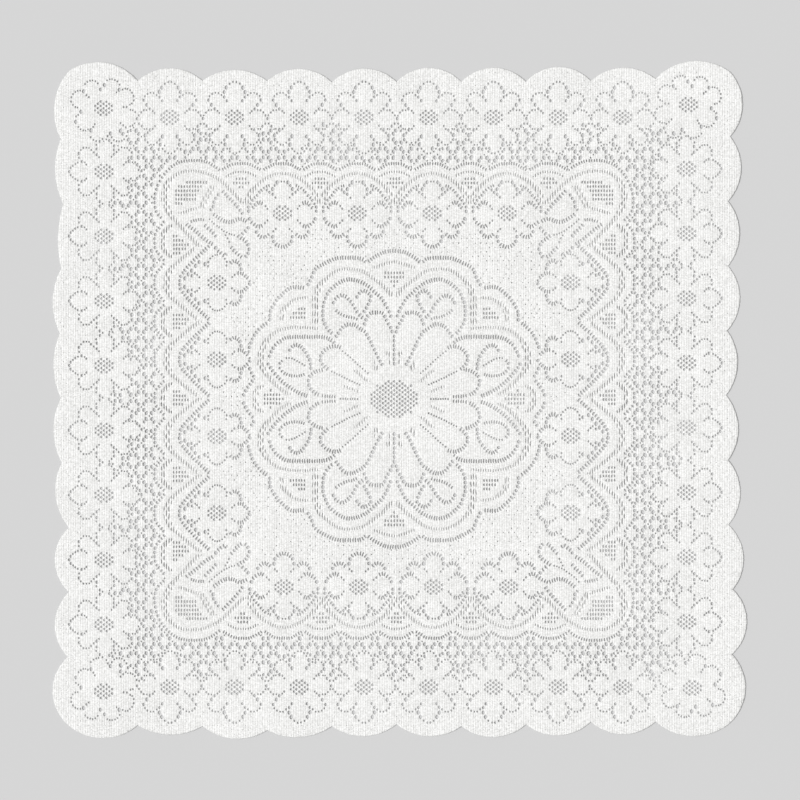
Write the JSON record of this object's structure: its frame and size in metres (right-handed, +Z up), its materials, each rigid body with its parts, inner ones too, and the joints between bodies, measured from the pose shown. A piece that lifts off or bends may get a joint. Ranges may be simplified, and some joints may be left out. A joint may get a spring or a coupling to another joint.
{
  "type": "lace tablecloth",
  "caption": "Square lace table topper: a thin knitted openwork sheet with a scalloped edge, flower border, net ground, arched frame and centre rosette.",
  "frame": {"origin": "middle of the cloth's box, on its underside", "axes": "+Z up out of the lying cloth, +Y towards its back edge (the picture's top), +X to the right"},
  "size_m": [0.8548, 0.8346, 0.0012],
  "materials": {
    "white_lace": "matt white polyester warp knit"
  },
  "bodies": {
    "root": {"lace_cloth": "white_lace"}
  },
  "joints": []
}
